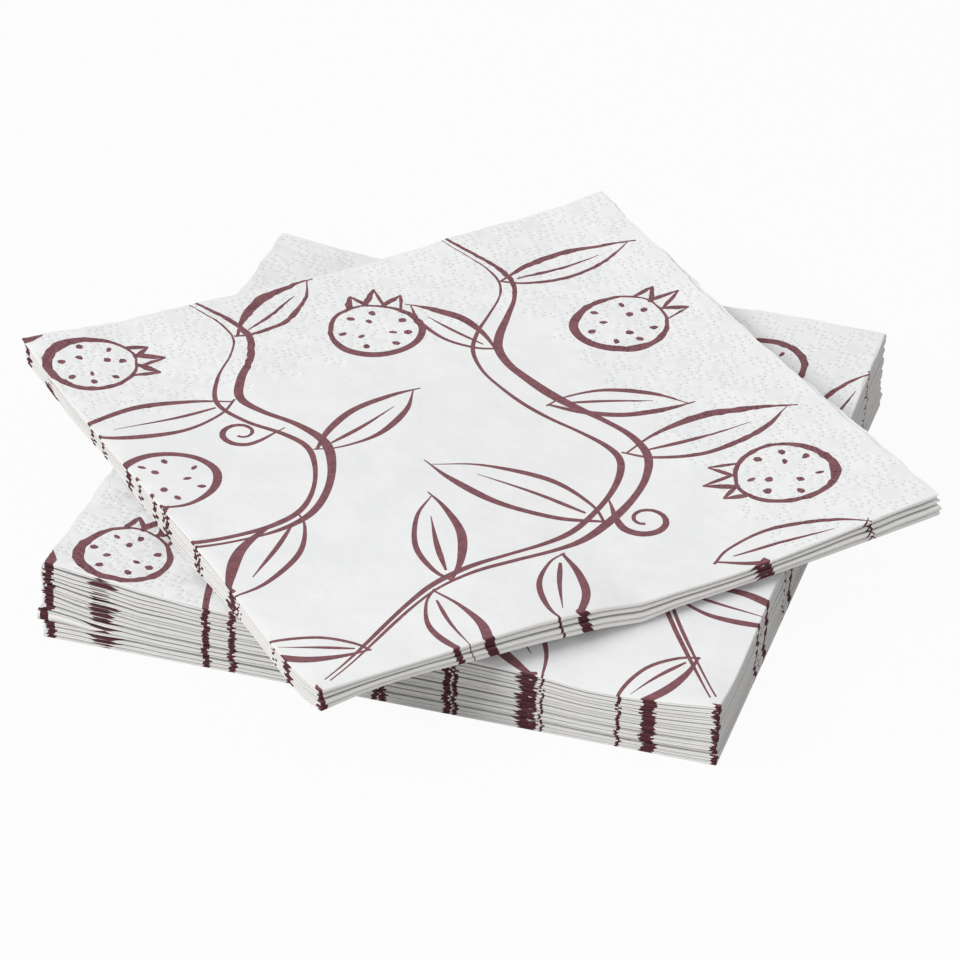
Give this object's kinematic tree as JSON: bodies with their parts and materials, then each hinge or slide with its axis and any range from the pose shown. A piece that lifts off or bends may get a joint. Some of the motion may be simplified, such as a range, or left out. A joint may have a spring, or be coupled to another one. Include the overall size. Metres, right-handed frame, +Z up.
{
  "type": "stack of paper napkins",
  "caption": "Stack of square tissue napkins folded in quarters: a straight pile with a few more lying turned on top, white with dark red line print and dotted edges.",
  "frame": {"origin": "on the surface that the stack rests on, under the middle of its box", "axes": "+Z up; the lower pile's first folds face -Y and its spines face +X, so its double-folded corners point to +X -Y"},
  "size_m": [0.2336, 0.2336, 0.0306],
  "materials": {
    "tissue": "matt white tissue, embossed in fine dots along its open edges, with loose lines printed in dull dark red"
  },
  "bodies": {
    "root": {"lower_napkin_01": "tissue", "lower_napkin_02": "tissue", "lower_napkin_03": "tissue", "lower_napkin_04": "tissue", "lower_napkin_05": "tissue", "lower_napkin_06": "tissue", "lower_napkin_07": "tissue", "lower_napkin_08": "tissue", "lower_napkin_09": "tissue", "lower_napkin_10": "tissue", "lower_napkin_11": "tissue", "lower_napkin_12": "tissue", "lower_napkin_13": "tissue", "lower_napkin_14": "tissue", "lower_napkin_15": "tissue", "lower_napkin_16": "tissue", "upper_napkin_01": "tissue", "upper_napkin_02": "tissue", "upper_napkin_03": "tissue", "upper_napkin_04": "tissue"}
  },
  "joints": []
}
